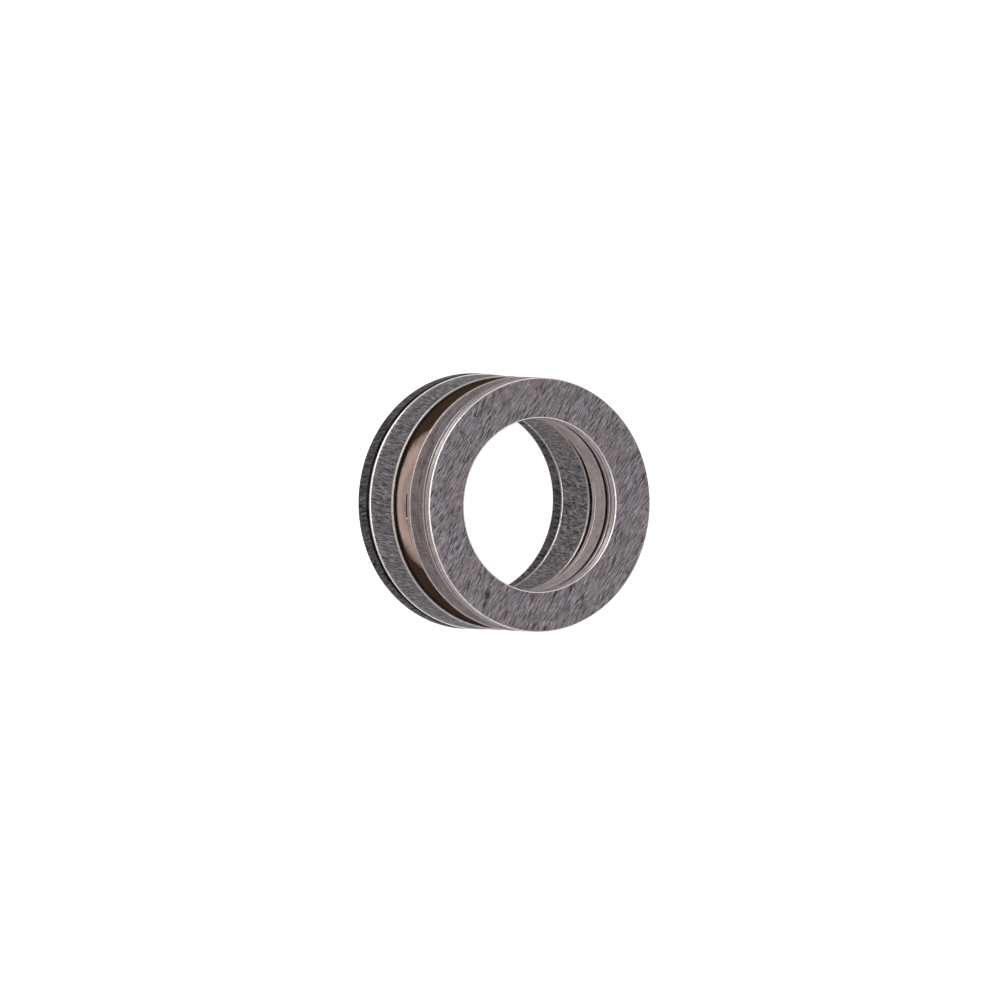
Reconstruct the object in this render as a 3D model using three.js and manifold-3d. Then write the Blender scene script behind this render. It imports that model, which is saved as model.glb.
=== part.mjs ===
// Single-direction thrust ball bearing for a 35 mm shaft and a 52 mm housing bore.
// Lengths are millimetres, +Z is up and is the bearing's axis.
// The origin is the centre of the lower face, on which the bearing rests.
// From the bottom up: back washer, housing race, balls in their cage, shaft race, front washer.

import * as THREE from 'three';
import { mergeVertices } from 'three/addons/utils/BufferGeometryUtils.js';
import Module from 'manifold-3d';

const wasm = await Module();
wasm.setup();

// ---- Driving dimensions ----

const HEIGHT = 28.8;

// The shaft side is a little smaller outside, so that it clears the housing,
// and the housing side has the larger bore, so that it clears the shaft.
// The housing race's bore widens towards its foot.
const SHAFT_BORE_R = 17.5;
const SHAFT_OUTER_R = 25.7;
const HOUSING_BORE_R = 18.2;
const HOUSING_BORE_FOOT_R = 18.95;
const HOUSING_OUTER_R = 26;
const BACK_WASHER_BORE_R = 19.3;

// Heights of the faces above the resting face.
const BACK_WASHER_TOP = 3.6;
const HOUSING_RACE_BOTTOM = 4.0;
const OUTER_SHOULDER_TOP = 13.6;
const RACE_LAND_TOP = 16.5;
const CAGE_SKIRT_BOTTOM = 14.1;
const CAGE_WEB_BOTTOM = 17.8;
const CAGE_TOP = 19.8;
const SHAFT_RACE_BOTTOM = 20.3;
const SHAFT_RACE_TOP = 25.2;
const FRONT_WASHER_BOTTOM = 25.5;

// Balls, on their pitch circle midway between the two races.
const BALL_COUNT = 20;
const BALL_R = 2.5;
const PITCH_R = 21.9;
const BALL_CENTRE_Z = (RACE_LAND_TOP + SHAFT_RACE_BOTTOM) / 2;

// Each groove is a little wider than the ball, and clears it by this much at its bottom.
const GROOVE_R = 1.08 * BALL_R;
const GROOVE_CLEARANCE = 0.15;
const LAND_OUTER_R = 24.1;

// Cage.
const CAGE_OUTER_R = 25.1;
const CAGE_SKIRT_INNER_R = 24.45;
const CAGE_INNER_R = 18.8;
const POCKET_R = BALL_R + 0.15;

// Edges.
const SMALL_CHAMFER = 0.3;
const BACK_CHAMFER = 0.4;
const RACE_FILLET = 0.7;
const BORE_FILLET = 0.45;
const CAGE_CHAMFER = 0.2;

// Fineness of the faceted solids.
const RING_SEGMENTS = 60;
const FILLET_STEPS = 2;
const GROOVE_STEPS = 6;
const BALL_SEGMENTS = 12;
const BALL_RINGS = 8;
const POCKET_SEGMENTS = 16;

// ---- Materials ----

const steel = (name, color, roughness) =>
  new THREE.MeshStandardMaterial({ name, color, roughness, metalness: 1 });

const groundSteel = steel('ground_steel', 0x78747a, 0.42);
const turnedSteel = steel('turned_steel', 0x756d6d, 0.35);
const scratchedSteel = steel('scratched_steel', 0x646063, 0.45);
const darkSteel = steel('dark_steel', 0x46424a, 0.4);
const ballSteel = steel('ball_steel', 0xb8b8bc, 0.08);
const bronze = steel('cage_bronze', 0x967f72, 0.38);

// ---- Profiles: lists of [radius, height], counter-clockwise, with the axis on their left ----

const DEG = Math.PI / 180;

// Points on an arc about a centre, from one angle to another, both ends included.
function arc(centreR, centreZ, radius, fromDeg, toDeg, steps) {
  return Array.from({ length: steps + 1 }, (_, i) => {
    const angle = (fromDeg + ((toDeg - fromDeg) * i) / steps) * DEG;
    return [centreR + radius * Math.cos(angle), centreZ + radius * Math.sin(angle)];
  });
}

// The four kinds of rounded corner of a profile; one step gives a chamfer.
const lowerInner = (r, z, size, steps = 1) => arc(r + size, z + size, size, 180, 270, steps);
const lowerOuter = (r, z, size, steps = 1) => arc(r - size, z + size, size, 270, 360, steps);
const upperOuter = (r, z, size, steps = 1) => arc(r - size, z - size, size, 0, 90, steps);
const upperInner = (r, z, size, steps = 1) => arc(r + size, z - size, size, 90, 180, steps);

// Heights of the grooves' centres, and the angle from a groove's bottom to where it ends in
// a flat land that lies the given depth below the groove's centre.
const LOWER_GROOVE_Z = BALL_CENTRE_Z - BALL_R - GROOVE_CLEARANCE + GROOVE_R;
const UPPER_GROOVE_Z = BALL_CENTRE_Z + BALL_R + GROOVE_CLEARANCE - GROOVE_R;
const grooveAngle = (depth) => Math.acos(depth / GROOVE_R) / DEG;

function flatWasherProfile(innerR, outerR, bottom, top, chamfer) {
  return [
    ...lowerInner(innerR, bottom, chamfer),
    ...lowerOuter(outerR, bottom, chamfer),
    ...upperOuter(outerR, top, chamfer),
    ...upperInner(innerR, top, chamfer),
  ];
}

// Flat on top, with the ball groove in its lower face.
function shaftRaceProfile() {
  const open = grooveAngle(UPPER_GROOVE_Z - SHAFT_RACE_BOTTOM);
  return [
    ...lowerInner(SHAFT_BORE_R, SHAFT_RACE_BOTTOM, RACE_FILLET, FILLET_STEPS),
    ...arc(PITCH_R, UPPER_GROOVE_Z, GROOVE_R, 270 - open, 270 + open - 360, GROOVE_STEPS),
    ...lowerOuter(SHAFT_OUTER_R, SHAFT_RACE_BOTTOM, RACE_FILLET, FILLET_STEPS),
    ...upperOuter(SHAFT_OUTER_R, SHAFT_RACE_TOP, SMALL_CHAMFER),
    ...upperInner(SHAFT_BORE_R, SHAFT_RACE_TOP, SMALL_CHAMFER),
  ];
}

// A thick ring with the ball groove in its upper land. Outside the land it steps down,
// which leaves room for the cage's skirt.
function housingRaceProfile() {
  const open = grooveAngle(LOWER_GROOVE_Z - RACE_LAND_TOP);
  return [
    ...lowerInner(HOUSING_BORE_FOOT_R, HOUSING_RACE_BOTTOM, BACK_CHAMFER),
    ...lowerOuter(HOUSING_OUTER_R, HOUSING_RACE_BOTTOM, BACK_CHAMFER),
    ...upperOuter(HOUSING_OUTER_R, OUTER_SHOULDER_TOP, RACE_FILLET, FILLET_STEPS),
    [LAND_OUTER_R, OUTER_SHOULDER_TOP],
    [LAND_OUTER_R, RACE_LAND_TOP],
    ...arc(PITCH_R, LOWER_GROOVE_Z, GROOVE_R, 270 + open, 270 - open, GROOVE_STEPS),
    ...upperInner(HOUSING_BORE_R, RACE_LAND_TOP, BORE_FILLET, FILLET_STEPS),
  ];
}

// An L section: a pocketed web between the races, and a skirt hanging outside them.
function cageProfile() {
  return [
    [CAGE_INNER_R, CAGE_WEB_BOTTOM],
    [CAGE_SKIRT_INNER_R, CAGE_WEB_BOTTOM],
    [CAGE_SKIRT_INNER_R, CAGE_SKIRT_BOTTOM],
    ...lowerOuter(CAGE_OUTER_R, CAGE_SKIRT_BOTTOM, CAGE_CHAMFER),
    ...upperOuter(CAGE_OUTER_R, CAGE_TOP, CAGE_CHAMFER),
    [CAGE_INNER_R, CAGE_TOP],
  ];
}

// ---- Solids ----

// A closed ring about Z from a profile of [radius, height] points.
function ring(profile) {
  const points = [...profile, profile[0]].map(([r, z]) => new THREE.Vector2(r, z));
  const geometry = new THREE.LatheGeometry(points, RING_SEGMENTS);
  geometry.rotateX(Math.PI / 2);
  return geometry;
}

function toSolid(geometry) {
  const bare = geometry.clone();
  bare.deleteAttribute('normal');
  bare.deleteAttribute('uv');
  const merged = mergeVertices(bare, 1e-4);
  return new wasm.Manifold(new wasm.Mesh({
    numProp: 3,
    vertProperties: new Float32Array(merged.attributes.position.array),
    triVerts: new Uint32Array(merged.index.array),
  }));
}

function toGeometry(solid) {
  const mesh = solid.getMesh();
  const geometry = new THREE.BufferGeometry();
  geometry.setAttribute('position', new THREE.BufferAttribute(mesh.vertProperties, 3));
  geometry.setIndex(new THREE.BufferAttribute(mesh.triVerts, 1));
  geometry.computeVertexNormals();
  return geometry;
}

// Direction of ball number i, seen along the axis.
const ballAngle = (i) => (i * 2 * Math.PI) / BALL_COUNT;

function cageSolid() {
  const pocketHeight = 2 * (CAGE_TOP - CAGE_WEB_BOTTOM);
  const pocket = new THREE.CylinderGeometry(POCKET_R, POCKET_R, pocketHeight, POCKET_SEGMENTS);
  pocket.rotateX(Math.PI / 2);
  let solid = toSolid(ring(cageProfile()));
  for (let i = 0; i < BALL_COUNT; i += 1) {
    const cutter = pocket.clone();
    const angle = ballAngle(i);
    const middle = (CAGE_TOP + CAGE_WEB_BOTTOM) / 2;
    cutter.translate(PITCH_R * Math.cos(angle), PITCH_R * Math.sin(angle), middle);
    solid = solid.subtract(toSolid(cutter));
  }
  return toGeometry(solid);
}

// ---- Assembly ----

const bearing = new THREE.Group();

function add(name, geometry, material) {
  const mesh = new THREE.Mesh(geometry, material);
  mesh.name = name;
  bearing.add(mesh);
  return mesh;
}

const backWasher = flatWasherProfile(
  BACK_WASHER_BORE_R, HOUSING_OUTER_R, 0, BACK_WASHER_TOP, BACK_CHAMFER);
const frontWasher = flatWasherProfile(
  SHAFT_BORE_R, SHAFT_OUTER_R, FRONT_WASHER_BOTTOM, HEIGHT, SMALL_CHAMFER);

add('back_washer', ring(backWasher), darkSteel);
add('housing_race', ring(housingRaceProfile()), scratchedSteel);
add('ball_cage', cageSolid(), bronze);
add('shaft_race', ring(shaftRaceProfile()), turnedSteel);
add('front_washer', ring(frontWasher), groundSteel);

for (let i = 0; i < BALL_COUNT; i += 1) {
  const number = String(i + 1).padStart(2, '0');
  const ball = new THREE.SphereGeometry(BALL_R, BALL_SEGMENTS, BALL_RINGS);
  const mesh = add(`ball_${number}`, ball, ballSteel);
  const angle = ballAngle(i);
  mesh.position.set(PITCH_R * Math.cos(angle), PITCH_R * Math.sin(angle), BALL_CENTRE_Z);
}

export default bearing;
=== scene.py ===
"""Looks of the thrust ball bearing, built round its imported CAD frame. Lengths are metres.

The bearing lies flat, with its axis along +Z. Each steel ring is turned again here from a fine
profile, the cage is turned and then bored for its balls, and the balls are fine spheres.
"""

import math

import bmesh
import bpy
from mathutils import Matrix, Vector


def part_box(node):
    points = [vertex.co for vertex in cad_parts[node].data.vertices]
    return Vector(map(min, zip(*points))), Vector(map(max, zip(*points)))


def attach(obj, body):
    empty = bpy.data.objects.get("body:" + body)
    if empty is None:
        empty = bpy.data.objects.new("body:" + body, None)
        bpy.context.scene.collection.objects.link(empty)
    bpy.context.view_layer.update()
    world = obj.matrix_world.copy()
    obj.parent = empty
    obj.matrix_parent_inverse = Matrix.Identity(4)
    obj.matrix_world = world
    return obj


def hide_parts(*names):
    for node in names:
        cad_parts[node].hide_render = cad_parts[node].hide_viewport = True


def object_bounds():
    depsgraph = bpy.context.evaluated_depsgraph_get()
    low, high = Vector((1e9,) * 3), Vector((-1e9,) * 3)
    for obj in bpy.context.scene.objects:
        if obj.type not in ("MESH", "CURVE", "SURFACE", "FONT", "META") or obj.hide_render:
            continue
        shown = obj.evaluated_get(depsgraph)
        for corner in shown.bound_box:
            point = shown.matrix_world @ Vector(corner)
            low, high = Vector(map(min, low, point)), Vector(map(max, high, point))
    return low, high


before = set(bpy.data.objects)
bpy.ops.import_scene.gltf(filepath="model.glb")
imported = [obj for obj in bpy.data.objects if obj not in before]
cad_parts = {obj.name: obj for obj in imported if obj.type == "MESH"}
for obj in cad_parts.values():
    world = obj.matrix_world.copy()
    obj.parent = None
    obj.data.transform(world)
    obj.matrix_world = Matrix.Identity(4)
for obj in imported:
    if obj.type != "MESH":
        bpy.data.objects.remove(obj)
CAD_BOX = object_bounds()

CAD_CENTRE = (Vector(CAD_BOX[0]) + Vector(CAD_BOX[1])) / 2

MM = 0.001

# Fineness of the turned rings, of the rounded edges and of the balls.
RING_SEGMENTS = 288
EDGE_STEPS = 5
GROOVE_STEPS = 14
POCKET_SEGMENTS = 48
BALL_SEGMENTS = 48
BALL_RINGS = 24
BURR_SUBDIVISIONS = 3

# Corners sharper than this, in degrees, stay crisp.
SHARP_CORNER = 32

# Rounded edges, finer than the CAD frame's, and the tool marks round the front washer.
BROKEN_EDGE = 0.20 * MM
CLOSE_EDGE = 0.10 * MM
WASHER_EDGE = 0.28 * MM
SHOULDER_FILLET = 0.36 * MM
BORE_FILLET = 0.45 * MM
TURNED_LINE_DEPTH = 0.12 * MM
TURNED_LINE_WIDTH = 0.26 * MM
# A collar is the narrow rim at the foot of a race; the wall above it is turned down by this much.
COLLAR_HEIGHT = 0.50 * MM
COLLAR_STEP = 0.24 * MM
# The rebate under the housing race's outer collar.
REBATE_HEIGHT = 0.40 * MM
REBATE_DEPTH = 0.55 * MM

# Tool marks round the front washer, as shares of its height.
TURNED_LINES = (0.28, 0.62, 0.78)

# The lip at the foot of the shaft race's bore, and the collar on it.
LIP_HEIGHT = 0.90 * MM
LIP_WIDTH = 0.80 * MM
LIP_COLLAR_HEIGHT = 1.0 * MM

# The relief at the top of the shaft race's bore, painted near-black as painted shade.
RELIEF_HEIGHT = 0.85 * MM
RELIEF_DEPTH = 0.55 * MM

# The housing race's bore widens by this much from its top to its foot.
BORE_FLARE = 0.75 * MM

# The joint in the cage's outer band: a slit that narrows to a hairline, given as pairs of an
# angle in degrees and a height, and a bright burr on it.
# The slit's walls are painted near-black as painted shade.
JOINT_DROP = 1.30 * MM
JOINT_DEPTH = 0.50 * MM
JOINT = ((-91.8, 0.42 * MM), (-80.9, 0.48 * MM), (-79.0, 0.14 * MM), (-62.0, 0.10 * MM))
BURR_R = 0.20 * MM
BURR_ANGLE = -80.4

# The step down outside the housing race's land, the land's outer radius, and the cage's section,
# as the CAD frame has them.
SHOULDER_DROP = 2.9 * MM
LAND_OUTER_R = 24.1 * MM
CAGE_WEB = 2.0 * MM
CAGE_SKIRT_INNER_R = 24.45 * MM
POCKET_R = 2.65 * MM
GROOVE_OVER_BALL = 1.08
GROOVE_CLEARANCE = 0.05 * MM


# ---- Measures taken from the frame ----


def ring_limits(node):
    """Bore radius, outer radius, bottom and top of a ring of the frame."""
    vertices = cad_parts[node].data.vertices
    radii = [math.hypot(v.co.x, v.co.y) for v in vertices]
    low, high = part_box(node)
    return min(radii), max(radii), low[2], high[2]


def ball_nodes():
    """The balls' node names, in order."""
    return sorted(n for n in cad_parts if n.startswith("ball_") and n != "ball_cage")


def centre_of(node):
    """The middle of a node's box."""
    low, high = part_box(node)
    return (Vector(low) + Vector(high)) / 2


def on_pitch_circle(node, z):
    """A placement at a ball's direction, on the balls' pitch circle and at height z."""
    spot = centre_of(node)
    direction = Vector((spot.x, spot.y, 0)).normalized() * PITCH_R
    return Matrix.Translation((direction.x, direction.y, z))


BALLS = ball_nodes()
BALL_R = (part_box(BALLS[0])[1][2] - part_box(BALLS[0])[0][2]) / 2
BALL_Z = centre_of(BALLS[0]).z
PITCH_R = max(math.hypot(*centre_of(n).xy) for n in BALLS)
GROOVE_R = GROOVE_OVER_BALL * BALL_R
LOWER_GROOVE_Z = BALL_Z - BALL_R - GROOVE_CLEARANCE + GROOVE_R
UPPER_GROOVE_Z = BALL_Z + BALL_R + GROOVE_CLEARANCE - GROOVE_R
CAGE_INNER_R, CAGE_OUTER_R, CAGE_BOTTOM, CAGE_TOP = ring_limits("ball_cage")


# ---- Turned shapes ----


class Profile:
    """A closed outline of (radius, height) points, counter-clockwise with the axis on its left.

    Each stretch has a kind, such as "face", "wall" or "edge", which names its material.
    """

    def __init__(self):
        self.points = []
        self.kinds = []

    def to(self, r, z, kind):
        """Adds a corner; kind is that of the stretch that leaves it."""
        self.points.append((r, z))
        self.kinds.append(kind)

    def arc(self, r, z, radius, start, end, kind, after, steps=EDGE_STEPS):
        """Adds an arc about (r, z), from start to end in degrees, and names what follows it."""
        for i in range(steps + 1):
            angle = math.radians(start + (end - start) * i / steps)
            last = i == steps
            self.to(r + radius * math.cos(angle), z + radius * math.sin(angle),
                    after if last else kind)

    def lower_inner(self, r, z, size, after, kind="edge"):
        self.arc(r + size, z + size, size, 180, 270, kind, after)

    def lower_outer(self, r, z, size, after, kind="edge"):
        self.arc(r - size, z + size, size, 270, 360, kind, after)

    def upper_outer(self, r, z, size, after, kind="edge"):
        self.arc(r - size, z - size, size, 0, 90, kind, after)

    def upper_inner(self, r, z, size, after, kind="edge"):
        self.arc(r + size, z - size, size, 90, 180, kind, after)

    def turned_line(self, r, z, direction):
        """Adds a V-shaped tool mark to a wall that runs up (direction 1) or down (-1)."""
        half = TURNED_LINE_WIDTH / 2
        inward = -direction * TURNED_LINE_DEPTH
        self.to(r, z - direction * half, "line")
        self.to(r + inward, z, "line")
        self.to(r, z + direction * half, "wall")

    def outer_collar(self, r, bottom):
        """A rim at the foot of an outer wall, going up: its shoulder is rounded and bright."""
        self.lower_outer(r, bottom, BROKEN_EDGE, "collar")
        self.upper_outer(r, bottom + COLLAR_HEIGHT, COLLAR_STEP, "wall")

    def bore_collar(self, r, bottom, height=COLLAR_HEIGHT):
        """A rim at the foot of a bore's wall, going down."""
        self.upper_inner(r, bottom + height, COLLAR_STEP, "collar")


def revolve(name, profile, kinds):
    """A ring turned from a profile. kinds maps each kind of stretch to a material."""
    count = len(profile.points)
    vertices = []
    for i in range(RING_SEGMENTS):
        angle = 2 * math.pi * i / RING_SEGMENTS
        c, s = math.cos(angle), math.sin(angle)
        vertices += [(r * c, r * s, z) for r, z in profile.points]
    faces, slots = [], []
    order = list(kinds)
    for i in range(RING_SEGMENTS):
        here, there = i * count, (i + 1) % RING_SEGMENTS * count
        for j in range(count):
            k = (j + 1) % count
            faces.append((here + j, there + j, there + k, here + k))
            slots.append(order.index(profile.kinds[j]))
    mesh = bpy.data.meshes.new(name)
    mesh.from_pydata(vertices, [], faces)
    for material in kinds.values():
        mesh.materials.append(material)
    mesh.polygons.foreach_set("material_index", slots)
    mesh.polygons.foreach_set("use_smooth", [True] * len(faces))
    mark_sharp_edges(mesh)
    piece = bpy.data.objects.new(name, mesh)
    bpy.context.collection.objects.link(piece)
    return piece


def mark_sharp_edges(mesh):
    """Keeps corners crisp under smooth shading."""
    limit = math.radians(SHARP_CORNER)
    work = bmesh.new()
    work.from_mesh(mesh)
    for edge in work.edges:
        if len(edge.link_faces) == 2 and edge.calc_face_angle(0.0) > limit:
            edge.smooth = False
    work.to_mesh(mesh)
    work.free()


def groove_half_angle(depth):
    """Degrees from a groove's bottom to where it meets a land that far from its centre."""
    return math.degrees(math.acos(depth / GROOVE_R))


# ---- Materials ----


class Shader:
    """A small helper that adds and joins the nodes of one material."""

    def __init__(self, name):
        self.material = bpy.data.materials.new(name)
        self.material.use_nodes = True
        self.tree = self.material.node_tree
        self.bsdf = self.tree.nodes["Principled BSDF"]

    def node(self, kind, **settings):
        made = self.tree.nodes.new(kind)
        for key, value in settings.items():
            setattr(made, key, value)
        return made

    def join(self, source, target):
        self.tree.links.new(source, target)

    def put(self, socket, value):
        """Joins an output to a socket, or sets the socket's own value."""
        if isinstance(value, bpy.types.NodeSocket):
            self.join(value, socket)
        else:
            socket.default_value = value

    def math(self, operation, a, b=0.0):
        made = self.node("ShaderNodeMath", operation=operation)
        self.put(made.inputs[0], a)
        self.put(made.inputs[1], b)
        return made.outputs[0]

    def place(self):
        return self.node("ShaderNodeTexCoord").outputs["Object"]

    def mapped(self, vector, scale=(1, 1, 1), turn=(0, 0, 0)):
        """The vector turned first and scaled after, so that the grain runs where it is turned."""
        turned = self.node("ShaderNodeMapping", vector_type="POINT")
        self.put(turned.inputs["Vector"], vector)
        turned.inputs["Rotation"].default_value = [math.radians(a) for a in turn]
        scaled = self.node("ShaderNodeMapping", vector_type="POINT")
        self.join(turned.outputs[0], scaled.inputs["Vector"])
        scaled.inputs["Scale"].default_value = scale
        return scaled.outputs[0]

    def noise(self, vector, scale, detail, roughness):
        made = self.node("ShaderNodeTexNoise")
        self.put(made.inputs["Vector"], vector)
        made.inputs["Scale"].default_value = scale
        made.inputs["Detail"].default_value = detail
        made.inputs["Roughness"].default_value = roughness
        return made.outputs[0]

    def spread(self, value, low, high, to_low=0.0, to_high=1.0):
        """Maps low..high to to_low..to_high, held at both ends."""
        made = self.node("ShaderNodeMapRange", clamp=True)
        self.put(made.inputs["Value"], value)
        made.inputs["From Min"].default_value = low
        made.inputs["From Max"].default_value = high
        made.inputs["To Min"].default_value = to_low
        made.inputs["To Max"].default_value = to_high
        return made.outputs[0]

    def mix(self, factor, a, b, mode="MIX"):
        made = self.node("ShaderNodeMix", data_type="RGBA", blend_type=mode)
        self.put(made.inputs[0], factor)
        self.put(made.inputs[6], a)
        self.put(made.inputs[7], b)
        return made.outputs[2]

    def ramp(self, value, *stops):
        """A colour ramp of (position, colour) stops."""
        made = self.node("ShaderNodeValToRGB")
        self.put(made.inputs[0], value)
        elements = made.color_ramp.elements
        while len(elements) < len(stops):
            elements.new(0.5)
        for element, (position, colour) in zip(elements, stops):
            element.position = position
            element.color = (*colour, 1)
        return made.outputs[0]

    def bump(self, height, distance, strength):
        made = self.node("ShaderNodeBump")
        made.inputs["Strength"].default_value = strength
        made.inputs["Distance"].default_value = distance
        self.join(height, made.inputs["Height"])
        return made.outputs[0]

    def metal(self, colour, roughness, normal=None):
        """Sets the surface as bare metal and returns the material."""
        self.put(self.bsdf.inputs["Base Color"], colour)
        self.put(self.bsdf.inputs["Roughness"], roughness)
        self.bsdf.inputs["Metallic"].default_value = 1.0
        if normal is not None:
            self.join(normal, self.bsdf.inputs["Normal"])
        return self.material


def grey(level, tint=(1.0, 1.0, 1.0)):
    return tuple(level * t for t in tint)


MAUVE = (1.05, 0.955, 1.01)
ROSE = (1.12, 0.94, 0.96)
SLATE = (1.03, 0.97, 0.99)
PURPLE = (1.03, 0.95, 1.04)
WARM = (1.06, 0.98, 0.95)
COOL = (0.98, 0.99, 1.03)
CREAM = (1.09, 0.98, 0.92)

# What the light and dark scratches, the streaks and the patches add to a scratched surface's
# level, the level below them, and the span of levels that goes from dark to light.
LIT_WEIGHT = 0.20
DULL_WEIGHT = 0.17
STREAK_WEIGHT = 0.5
PATCH_WEIGHT = 0.14
BASE_LEVEL = 0.18
LEVEL_SPAN = (0.38, 0.64)

# Depths of the surface relief.
SCRATCH_BUMP = 0.04 * MM
TURNING_BUMP = 0.03 * MM
BRONZE_BUMP = 0.02 * MM

# Painted shade on the cage: the dark brown it is painted where it is shaded, a gloss of none that
# the seams' painted shade shares, and how far a painted shadow reaches up from the cage's foot.
PAINTED_SHADE_BROWN = (0.030, 0.017, 0.011, 1)
PAINTED_SHADE_GLOSS = 0.0
PAINTED_SHADE_FOOT = 1.1 * MM
# How many lobes of painted light go round the cage; one faces -Y.
PAINTED_LIGHT_LOBES = 3


def thin_lines(sh, vector, scale, width=0.05):
    """Thin lines, where a stretched noise crosses its middle value: 1 on a line and 0 off it."""
    value = sh.noise(sh.mapped(vector, scale), 1.0, 0.0, 0.5)
    apart = sh.math("ABSOLUTE", sh.math("SUBTRACT", value, 0.5))
    return sh.spread(apart, 0.0, width, 1.0, 0.0)


def scratch_shade(sh, lit, dull, streaks, patch, dark, light, tint):
    """Dark metal with thin light and dark scratches, and the level that its roughness follows."""
    lines = sh.math("SUBTRACT", sh.math("MULTIPLY", lit, LIT_WEIGHT),
                    sh.math("MULTIPLY", dull, DULL_WEIGHT))
    broad = sh.math("ADD", sh.math("MULTIPLY", streaks, STREAK_WEIGHT),
                    sh.math("MULTIPLY", patch, PATCH_WEIGHT))
    level = sh.math("ADD", sh.math("ADD", lines, broad), BASE_LEVEL)
    shade = sh.ramp(sh.spread(level, *LEVEL_SPAN), (0.0, grey(dark, tint)),
                    (0.5, grey((dark + light) * 0.44, tint)), (1.0, grey(light, tint)))
    hue = sh.mix(sh.spread(streaks, 0.40, 0.60), (0.94, 1.0, 1.02, 1), (1.06, 0.99, 1.02, 1))
    return sh.mix(1.0, shade, hue, "MULTIPLY"), level


def ground_face(name, grain_deg, dark, light, tint=MAUVE, patch_shift=0.0):
    """A face ground flat: short scratches in two nearly equal directions, in uneven patches.

    patch_shift is added to the patches' scales, so that no two faces have the same ones.
    """
    sh = Shader(name)
    place = sh.place()
    along = sh.mapped(place, turn=(0, 0, grain_deg))
    askew = sh.mapped(place, turn=(0, 0, grain_deg - 13))
    lit = thin_lines(sh, along, (300, 2900, 300))
    dull = thin_lines(sh, askew, (260, 2500, 260))
    streaks = sh.noise(sh.mapped(along, (420, 5200, 420)), 1.0, 1.0, 0.5)
    patch = sh.noise(place, 420.0 + patch_shift, 3.0, 0.6)
    cloud = sh.noise(place, 75.0 + patch_shift, 2.0, 0.5)
    scored, level = scratch_shade(sh, lit, dull, streaks, patch, dark, light, tint)
    clouded = sh.mix(sh.spread(cloud, 0.42, 0.62, 0.0, 0.25), scored,
                     (*grey((dark + light) * 0.45, (1.12, 0.94, 0.97)), 1))
    rough = sh.spread(level, *LEVEL_SPAN, 0.46, 0.32)
    normal = sh.bump(level, SCRATCH_BUMP, 0.6)
    return sh.metal(clouded, rough, normal)


def turned_wall(name, level, tint, contrast=0.12, roughness=0.34):
    """A cylindrical wall left by a lathe: very fine lines round the axis, and mottled."""
    sh = Shader(name)
    place = sh.place()
    lines = sh.noise(sh.mapped(place, (90, 90, 3200)), 1.0, 2.0, 0.6)
    blotch = sh.noise(place, 500.0, 3.0, 0.6)
    speck = sh.noise(place, 2600.0, 1.0, 0.5)
    mixed = sh.math("ADD", sh.math("MULTIPLY", lines, 0.4), sh.math("MULTIPLY", blotch, 0.3))
    mixed = sh.math("ADD", mixed, sh.math("MULTIPLY", speck, 0.3))
    shade = sh.ramp(sh.spread(mixed, 0.42, 0.58), (0.0, grey(level * (1 - contrast), tint)),
                    (1.0, grey(level * (1 + contrast), tint)))
    rough = sh.spread(blotch, 0.35, 0.65, roughness + 0.08, roughness - 0.06)
    normal = sh.bump(mixed, TURNING_BUMP, 0.4)
    return sh.metal(shade, rough, normal)


def scratched_wall(name, dark, light, tint, skew_deg, radius):
    """A wall scratched along the axis, a little askew, as by grinding and handling."""
    sh = Shader(name)
    place = sh.place()
    apart = sh.node("ShaderNodeSeparateXYZ")
    sh.join(place, apart.inputs[0])
    twist = sh.node("ShaderNodeVectorRotate", rotation_type="Z_AXIS")
    sh.join(place, twist.inputs["Vector"])
    slope = math.tan(math.radians(skew_deg)) / radius
    sh.join(sh.math("MULTIPLY", apart.outputs["Z"], slope), twist.inputs["Angle"])
    along = twist.outputs[0]
    lit = thin_lines(sh, along, (2600, 2600, 190))
    dull = thin_lines(sh, along, (2000, 2000, 150))
    streaks = sh.noise(sh.mapped(along, (4800, 4800, 400)), 1.0, 1.0, 0.5)
    patch = sh.noise(place, 500.0, 3.0, 0.6)
    scored, level = scratch_shade(sh, lit, dull, streaks, patch, dark, light, tint)
    rough = sh.spread(level, *LEVEL_SPAN, 0.50, 0.36)
    normal = sh.bump(level, SCRATCH_BUMP, 0.6)
    return sh.metal(scored, rough, normal)


def bright_edge(name, level, tint, roughness=0.22):
    """An edge worn and polished bright, faintly nicked."""
    sh = Shader(name)
    nicks = sh.noise(sh.place(), 900.0, 2.0, 0.5)
    shade = sh.ramp(sh.spread(nicks, 0.3, 0.6), (0.0, grey(level * 0.8, tint)),
                    (1.0, grey(level, tint)))
    rough = sh.spread(nicks, 0.3, 0.7, roughness + 0.1, roughness)
    return sh.metal(shade, rough)


def painted_shade_seam(name):
    """A narrow seam, painted near-black and mottled: painted shade in the gaps between parts."""
    sh = Shader(name)
    shade_mottle = sh.noise(sh.place(), 700.0, 2.0, 0.5)
    shade = sh.ramp(sh.spread(shade_mottle, 0.35, 0.65), (0.0, (0.006, 0.005, 0.006)),
                    (1.0, (0.03, 0.026, 0.026)))
    sh.metal(shade, 0.5)
    sh.bsdf.inputs["Metallic"].default_value = 0.0
    sh.bsdf.inputs["Specular IOR Level"].default_value = PAINTED_SHADE_GLOSS
    return sh.material


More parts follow.
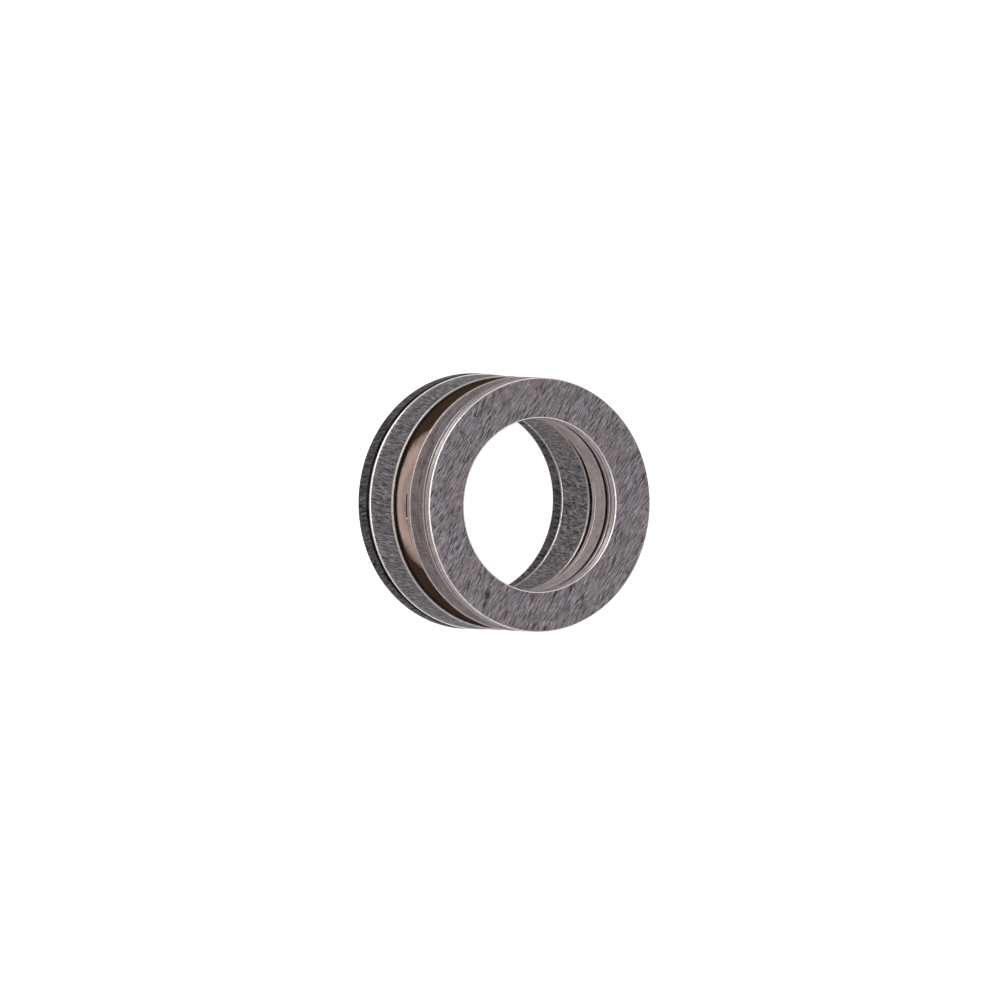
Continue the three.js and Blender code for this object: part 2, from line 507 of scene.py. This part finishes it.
def bronze_with_painted_light_and_shade(name, level, roughness):
    """Machined bronze, mottled by stains, with painted light in lobes round the axis, painted
    shade between them and darker towards its foot, and a painted shadow along its foot.
    """
    sh = Shader(name)
    place = sh.place()
    lines = sh.noise(sh.mapped(place, (60, 60, 3000)), 1.0, 2.0, 0.6)
    stain = sh.noise(place, 260.0, 3.0, 0.6)
    mixed = sh.math("ADD", sh.math("MULTIPLY", lines, 0.5), sh.math("MULTIPLY", stain, 0.5))
    bright = sh.ramp(sh.spread(mixed, 0.38, 0.62),
                     (0.0, (level * 1.10, level * 0.74, level * 0.60)),
                     (0.5, (level * 1.32, level * 0.93, level * 0.79)),
                     (1.0, (level * 1.50, level * 1.15, level * 1.00)))
    apart = sh.node("ShaderNodeSeparateXYZ")
    sh.join(place, apart.inputs[0])
    # Painted light in lobes round the axis and painted shade darker towards the foot, mottled by
    # the stains.
    turn = sh.math("ARCTAN2", apart.outputs["X"], sh.math("MULTIPLY", apart.outputs["Y"], -1.0))
    painted_lit_lobes = sh.math("COSINE", sh.math("MULTIPLY", turn, PAINTED_LIGHT_LOBES))
    painted_shade_by_height = sh.spread(apart.outputs["Z"], CAGE_BOTTOM, CAGE_TOP, -0.35, 0.30)
    # A painted shadow along the cage's foot, beside the housing race's shoulder.
    foot = sh.spread(apart.outputs["Z"], CAGE_BOTTOM, CAGE_BOTTOM + PAINTED_SHADE_FOOT, -1.1, 0.0)
    painted_light_and_stain = sh.math("ADD", sh.math("ADD", painted_lit_lobes, painted_shade_by_height), sh.math("MULTIPLY", stain, 0.5))
    # bare is the share of painted light; where it is low, the cage is painted dark brown and not
    # metal, as painted shade.
    bare = sh.spread(sh.math("ADD", painted_light_and_stain, foot), 0.15, 1.25)
    shade = sh.mix(bare, PAINTED_SHADE_BROWN, bright)
    rough = sh.spread(stain, 0.35, 0.65, roughness + 0.07, roughness - 0.05)
    normal = sh.bump(lines, BRONZE_BUMP, 0.25)
    sh.metal(shade, rough, normal)
    sh.join(bare, sh.bsdf.inputs["Metallic"])
    sh.bsdf.inputs["Specular IOR Level"].default_value = PAINTED_SHADE_GLOSS
    return sh.material


def ball_steel(name):
    """Polished steel with the faintest grinding bands."""
    sh = Shader(name)
    bands = sh.noise(sh.mapped(sh.place(), (300, 300, 2200)), 1.0, 2.0, 0.5)
    rough = sh.spread(bands, 0.35, 0.65, 0.07, 0.12)
    shade = sh.ramp(bands, (0.0, (0.62, 0.62, 0.64)), (1.0, (0.74, 0.74, 0.76)))
    return sh.metal(shade, rough)


# ---- The rings ----


def finish_piece(piece, node, body):
    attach(piece, body)
    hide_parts(node)


def front_washer():
    bore, outer, bottom, top = ring_limits("front_washer")
    height = top - bottom
    outline = Profile()
    # The back edge at the bore takes the seam's painted shade, in the gap over the shaft race.
    outline.lower_inner(bore, bottom, BROKEN_EDGE, "back", kind="seam")
    outline.lower_outer(outer, bottom, CLOSE_EDGE, "wall", kind="wall")
    for share in TURNED_LINES:
        outline.turned_line(outer, bottom + share * height, 1)
    outline.upper_outer(outer, top, WASHER_EDGE, "face")
    outline.upper_inner(bore, top, WASHER_EDGE, "wall")
    for share in reversed(TURNED_LINES):
        outline.turned_line(bore, bottom + share * height, -1)
    kinds = {
        "face": ground_face("ground_front_face", 33.0, 0.07, 0.72),
        "back": ground_face("ground_rear_face", 20.0, 0.09, 0.60, patch_shift=9.0),
        "wall": turned_wall("front_washer_wall", 0.35, ROSE, 0.30, 0.34),
        "line": bright_edge("front_washer_lines", 0.46, WARM, 0.28),
        "edge": bright_edge("front_washer_edge", 0.97, WARM, 0.16),
        "seam": painted_shade_seam("front_washer_seam"),
    }
    piece = revolve("front_washer_turned", outline, kinds)
    finish_piece(piece, "front_washer", "shaft")


def shaft_race():
    bore, outer, bottom, top = ring_limits("shaft_race")
    half = groove_half_angle(bottom - UPPER_GROOVE_Z)
    outline = Profile()
    outline.lower_inner(bore, bottom - LIP_HEIGHT, CLOSE_EDGE, "face")
    outline.to(bore + LIP_WIDTH, bottom - LIP_HEIGHT, "face")
    outline.to(bore + LIP_WIDTH, bottom, "face")
    outline.arc(PITCH_R, UPPER_GROOVE_Z, GROOVE_R, 90 + half, 90 - half,
                "groove", "face", GROOVE_STEPS)
    outline.outer_collar(outer, bottom)
    outline.upper_outer(outer - COLLAR_STEP, top, CLOSE_EDGE, "face", kind="wall")
    # The relief takes the seam's painted shade.
    outline.to(bore + RELIEF_DEPTH, top, "seam")
    outline.to(bore + RELIEF_DEPTH, top - RELIEF_HEIGHT, "seam")
    outline.to(bore + COLLAR_STEP, top - RELIEF_HEIGHT, "bore")
    outline.bore_collar(bore, bottom - LIP_HEIGHT, LIP_COLLAR_HEIGHT)
    kinds = {
        "wall": turned_wall("shaft_race_wall", 0.34, ROSE, 0.45, 0.36),
        "bore": turned_wall("shaft_race_bore", 0.66, ROSE, 0.20, 0.36),
        "face": ground_face("shaft_race_face", 35.0, 0.12, 0.55, patch_shift=21.0),
        "collar": turned_wall("shaft_race_collar", 0.70, CREAM, 0.24, 0.38),
        "edge": bright_edge("shaft_race_edge", 0.50, CREAM, 0.40),
        "seam": painted_shade_seam("shaft_race_seam"),
        "groove": bright_edge("shaft_race_groove", 0.65, COOL, 0.12),
    }
    piece = revolve("shaft_race_turned", outline, kinds)
    finish_piece(piece, "shaft_race", "shaft")


def housing_race():
    bore, outer, bottom, top = ring_limits("housing_race")
    shoulder = top - SHOULDER_DROP
    half = groove_half_angle(LOWER_GROOVE_Z - top)
    outline = Profile()
    foot = bore + BORE_FLARE
    outline.lower_inner(foot, bottom, BROKEN_EDGE, "face")
    # The rebate under the outer collar takes the seam's painted shade.
    outline.to(outer - REBATE_DEPTH, bottom, "seam")
    outline.to(outer - REBATE_DEPTH, bottom + REBATE_HEIGHT, "seam")
    outline.outer_collar(outer, bottom + REBATE_HEIGHT)
    outline.upper_outer(outer - COLLAR_STEP, shoulder, SHOULDER_FILLET, "shoulder", kind="fillet")
    outline.to(LAND_OUTER_R, shoulder, "shoulder")
    outline.to(LAND_OUTER_R, top, "face")
    outline.arc(PITCH_R, LOWER_GROOVE_Z, GROOVE_R, 270 + half, 270 - half,
                "groove", "face", GROOVE_STEPS)
    outline.upper_inner(bore, top, BORE_FILLET, "bore", kind="fillet")
    outline.bore_collar(foot, bottom)
    kinds = {
        "wall": scratched_wall("housing_race_wall", 0.09, 0.60, SLATE, -5.0, outer),
        "bore": scratched_wall("housing_race_bore", 0.07, 0.62, SLATE, 5.0, bore),
        "face": ground_face("housing_race_face", 60.0, 0.10, 0.5, patch_shift=33.0),
        # The shoulder is painted very dark: painted shade in the recess beside the cage.
        "shoulder": turned_wall("housing_race_shoulder", 0.10, WARM, 0.3, 0.4),
        "fillet": bright_edge("housing_race_fillet", 0.56, CREAM, 0.36),
        "collar": turned_wall("housing_race_collar", 0.50, WARM, 0.16, 0.30),
        "edge": bright_edge("housing_race_edge", 0.97, WARM, 0.16),
        "seam": painted_shade_seam("housing_race_seam"),
        "groove": bright_edge("housing_race_groove", 0.65, COOL, 0.12),
    }
    piece = revolve("housing_race_turned", outline, kinds)
    finish_piece(piece, "housing_race", "housing")


def back_washer():
    bore, outer, bottom, top = ring_limits("back_washer")
    outline = Profile()
    outline.lower_inner(bore, bottom, BROKEN_EDGE, "face")
    outline.lower_outer(outer, bottom, BROKEN_EDGE, "wall")
    # The top face and both its edges take the seam's painted shade, under the housing race.
    outline.upper_outer(outer, top, BROKEN_EDGE, "seam", kind="seam")
    outline.upper_inner(bore, top, BROKEN_EDGE, "wall", kind="seam")
    kinds = {
        "wall": scratched_wall("back_washer_wall", 0.02, 0.32, PURPLE, 10.0, outer),
        "face": ground_face("back_washer_face", -55.0, 0.12, 0.55, patch_shift=41.0),
        "edge": bright_edge("back_washer_edge", 0.30, WARM),
        "seam": painted_shade_seam("back_washer_seam"),
    }
    piece = revolve("back_washer_turned", outline, kinds)
    finish_piece(piece, "back_washer", "housing")


def cage():
    top, web_bottom = CAGE_TOP, CAGE_TOP - CAGE_WEB
    outline = Profile()
    outline.lower_inner(CAGE_INNER_R, web_bottom, BROKEN_EDGE, "face")
    outline.to(CAGE_SKIRT_INNER_R, web_bottom, "wall")
    outline.lower_inner(CAGE_SKIRT_INNER_R, CAGE_BOTTOM, BROKEN_EDGE / 2, "face")
    outline.lower_outer(CAGE_OUTER_R, CAGE_BOTTOM, BROKEN_EDGE, "wall")
    outline.upper_outer(CAGE_OUTER_R, top, BROKEN_EDGE, "face")
    outline.upper_inner(CAGE_INNER_R, top, BROKEN_EDGE, "wall")
    kinds = {
        "wall": bronze_with_painted_light_and_shade("cage_wall", 0.62, 0.30),
        "face": bronze_with_painted_light_and_shade("cage_face", 0.50, 0.34),
        "edge": bronze_with_painted_light_and_shade("cage_edge", 0.75, 0.26),
        "seam": painted_shade_seam("cage_seam"),
    }
    piece = revolve("ball_cage_turned", outline, kinds)
    cutter = bmesh.new()
    pocket_cutters(cutter, (web_bottom + top) / 2, 2 * CAGE_WEB)
    joint_cutter(cutter, list(kinds).index("seam"))
    cut_away(piece, cutter)
    finish_piece(piece, "ball_cage", "cage")
    burr()


def pocket_cutters(work, middle, height):
    """Adds one round pocket for each ball."""
    for node in BALLS:
        bmesh.ops.create_cone(work, cap_ends=True, segments=POCKET_SEGMENTS, radius1=POCKET_R,
                              radius2=POCKET_R, depth=height,
                              matrix=on_pitch_circle(node, middle))


def joint_cutter(work, material):
    """Adds a curved bar of changing height, sunk into the cage's outer wall."""
    middle = CAGE_TOP - JOINT_DROP
    inner, outer = CAGE_OUTER_R - JOINT_DEPTH, CAGE_OUTER_R + JOINT_DEPTH
    rings = []
    for (start, first), (end, second) in zip(JOINT, JOINT[1:]):
        steps = math.ceil(end - start)
        for i in range(steps + 1):
            if rings and i == 0:
                continue
            angle = math.radians(start + (end - start) * i / steps)
            half = (first + (second - first) * i / steps) / 2
            corners = ((inner, -half), (outer, -half), (outer, half), (inner, half))
            rings.append([work.verts.new((r * math.cos(angle), r * math.sin(angle), middle + z))
                          for r, z in corners])
    faces = [work.faces.new(rings[0]), work.faces.new(rings[-1][::-1])]
    for here, there in zip(rings, rings[1:]):
        for j in range(4):
            k = (j + 1) % 4
            faces.append(work.faces.new((here[j], there[j], there[k], here[k])))
    # The slit's walls take the seam's painted shade.
    for face in faces:
        face.material_index = material
    bmesh.ops.recalc_face_normals(work, faces=faces)


def cut_away(piece, work):
    """Cuts a mesh's shape out of a piece, and frees the cutter."""
    mesh = bpy.data.meshes.new("cutter")
    work.to_mesh(mesh)
    work.free()
    for material in piece.data.materials:
        mesh.materials.append(material)
    cutter = bpy.data.objects.new("cutter", mesh)
    bpy.context.collection.objects.link(cutter)
    cut = piece.modifiers.new("cut", "BOOLEAN")
    cut.operation = "DIFFERENCE"
    cut.solver = "EXACT"
    cut.object = cutter
    bpy.context.view_layer.update()
    evaluated = piece.evaluated_get(bpy.context.evaluated_depsgraph_get())
    result = bpy.data.meshes.new_from_object(evaluated)
    piece.modifiers.clear()
    old = piece.data
    piece.data = result
    bpy.data.meshes.remove(old)
    bpy.data.objects.remove(cutter)
    mark_sharp_edges(result)


def burr():
    """A bright burr of metal at the end of the slit in the cage's band."""
    angle = math.radians(BURR_ANGLE)
    place = Matrix.Translation((CAGE_OUTER_R * math.cos(angle), CAGE_OUTER_R * math.sin(angle),
                                CAGE_TOP - JOINT_DROP))
    work = bmesh.new()
    bmesh.ops.create_icosphere(work, subdivisions=BURR_SUBDIVISIONS, radius=BURR_R, matrix=place)
    mesh = bpy.data.meshes.new("cage_burr")
    work.to_mesh(mesh)
    work.free()
    mesh.polygons.foreach_set("use_smooth", [True] * len(mesh.polygons))
    mesh.materials.append(bright_edge("cage_burr_metal", 0.95, WARM))
    piece = bpy.data.objects.new("cage_burr", mesh)
    bpy.context.collection.objects.link(piece)
    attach(piece, "cage")


def balls():
    steel = ball_steel("polished_ball_steel")
    for node in BALLS:
        work = bmesh.new()
        bmesh.ops.create_uvsphere(work, u_segments=BALL_SEGMENTS, v_segments=BALL_RINGS,
                                  radius=BALL_R, matrix=on_pitch_circle(node, BALL_Z))
        mesh = bpy.data.meshes.new(f"{node}_polished")
        work.to_mesh(mesh)
        work.free()
        mesh.polygons.foreach_set("use_smooth", [True] * len(mesh.polygons))
        mesh.materials.append(steel)
        piece = bpy.data.objects.new(f"{node}_polished", mesh)
        bpy.context.collection.objects.link(piece)
        finish_piece(piece, node, node)


# ---- Camera, floor and light ----

# The camera looks down on the front washer, 30 degrees off the axis, and is rolled so that the
# axis lies across the picture with the front washer to the right.
CAMERA_OFF_AXIS = 29.55
CAMERA_ROLL = 93.2
CAMERA_DISTANCE = 3.0
PICTURE_WIDTH = 202.3 * MM
SENSOR_WIDTH = 36.0
PICTURE_CENTRE = (1.0 * MM, -0.6 * MM)

# The floor's half-width, and the two square softboxes: places and sizes, and their radiance.
FLOOR_HALF = 1.5
KEY_PLACE = (-0.60, -0.60, 0.60)
KEY_SIZE = 0.6
KEY_BRIGHTNESS = 2.4
TOP_PLACE = (0.0, -0.20, 1.0)
TOP_SIZE = 0.5
TOP_BRIGHTNESS = 2.0

# The light tent's brightness at heights from straight down (-1) to straight up (1): its walls,
# near the horizon, are bright, and its roof and foot are dim.
TENT = ((-1.0, 0.36), (-0.15, 0.36), (0.02, 1.15), (0.42, 1.15), (0.68, 0.34), (1.0, 0.34))


def camera():
    off = math.radians(CAMERA_OFF_AXIS)
    back = Vector((0, -math.sin(off), math.cos(off)))
    rotation = back.to_track_quat("Z", "Y").to_matrix() @ Matrix.Rotation(
        math.radians(CAMERA_ROLL), 3, "Z")
    data = bpy.data.cameras.new("camera")
    data.sensor_width = SENSOR_WIDTH
    data.lens = SENSOR_WIDTH * CAMERA_DISTANCE / PICTURE_WIDTH
    data.clip_end = 4 * CAMERA_DISTANCE
    made = bpy.data.objects.new("camera", data)
    aim = CAD_CENTRE + rotation @ Vector((-PICTURE_CENTRE[0], -PICTURE_CENTRE[1], 0))
    made.matrix_world = Matrix.Translation(aim + back * CAMERA_DISTANCE) @ rotation.to_4x4()
    bpy.context.collection.objects.link(made)
    bpy.context.scene.camera = made


def floor():
    half = FLOOR_HALF
    mesh = bpy.data.meshes.new("floor")
    mesh.from_pydata([(-half, -half, 0), (half, -half, 0), (half, half, 0), (-half, half, 0)],
                     [], [(0, 1, 2, 3)])
    made = bpy.data.objects.new("floor", mesh)
    sh = Shader("pale_floor")
    sh.bsdf.inputs["Base Color"].default_value = (0.9, 0.9, 0.9, 1)
    sh.bsdf.inputs["Roughness"].default_value = 0.9
    sh.bsdf.inputs["Specular IOR Level"].default_value = 0.0
    sh.bsdf.inputs["Emission Color"].default_value = (1, 1, 1, 1)
    sh.bsdf.inputs["Emission Strength"].default_value = 0.85
    mesh.materials.append(sh.material)
    made.visible_glossy = False
    bpy.context.collection.objects.link(made)


def softbox(name, place, size, brightness):
    """A square area light that faces the bearing's middle; brightness is its radiance."""
    data = bpy.data.lights.new(name, "AREA")
    data.shape = "SQUARE"
    data.size = size
    data.energy = brightness * math.pi * size**2
    made = bpy.data.objects.new(name, data)
    made.location = place
    made.rotation_euler = (Vector(place) - CAD_CENTRE).to_track_quat("Z", "Y").to_euler()
    bpy.context.collection.objects.link(made)


def lights():
    world = bpy.data.worlds.new("studio")
    bpy.context.scene.world = world
    world.use_nodes = True
    tree = world.node_tree
    apart = tree.nodes.new("ShaderNodeSeparateXYZ")
    height = tree.nodes.new("ShaderNodeMapRange")
    ramp = tree.nodes.new("ShaderNodeValToRGB")
    tree.links.new(tree.nodes.new("ShaderNodeTexCoord").outputs["Generated"], apart.inputs[0])
    tree.links.new(apart.outputs["Z"], height.inputs["Value"])
    height.inputs["From Min"].default_value = -1
    tree.links.new(height.outputs[0], ramp.inputs[0])
    tree.links.new(ramp.outputs[0], tree.nodes["Background"].inputs["Color"])
    elements = ramp.color_ramp.elements
    while len(elements) < len(TENT):
        elements.new(0.5)
    for element, (up, level) in zip(elements, TENT):
        element.position = (up + 1) / 2
        element.color = (level, level, level, 1)
    softbox("key", KEY_PLACE, KEY_SIZE, KEY_BRIGHTNESS)
    softbox("top", TOP_PLACE, TOP_SIZE, TOP_BRIGHTNESS)


camera()
floor()
lights()
bpy.context.scene.view_settings.view_transform = "Standard"
front_washer()
shaft_race()
cage()
balls()
housing_race()
back_washer()
